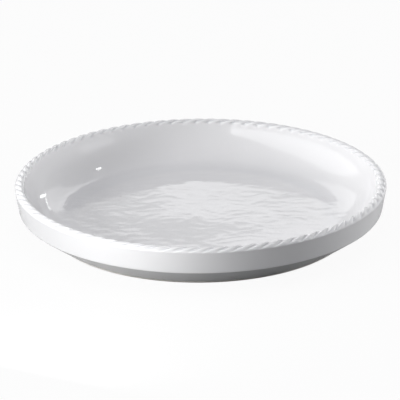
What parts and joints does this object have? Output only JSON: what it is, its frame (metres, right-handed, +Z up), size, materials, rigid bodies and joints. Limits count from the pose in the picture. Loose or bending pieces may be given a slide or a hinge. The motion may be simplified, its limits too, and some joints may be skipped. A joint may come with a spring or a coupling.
{
  "type": "round baking dish",
  "caption": "Shallow round white porcelain baking dish with a flat floor in a coved well, a leaning outer band, a rope-twist border on the rim and a bare foot ring.",
  "frame": {"origin": "centre of the circle that the foot ring stands on, on the table plane", "axes": "+Z up along the dish's axis of revolution; +X and +Y are free, because the dish is round; the picture looks along +Y"},
  "size_m": [0.3, 0.3, 0.0393],
  "materials": {
    "biscuit": "matt vitrified porcelain without glaze",
    "white_glaze": "clear gloss glaze over white porcelain"
  },
  "bodies": {
    "root": {"porcelain_body": "biscuit", "foot_ring": "biscuit", "rope_border": "white_glaze", "inside_glaze": "white_glaze", "outside_glaze": "white_glaze", "base_glaze": "white_glaze"}
  },
  "joints": []
}
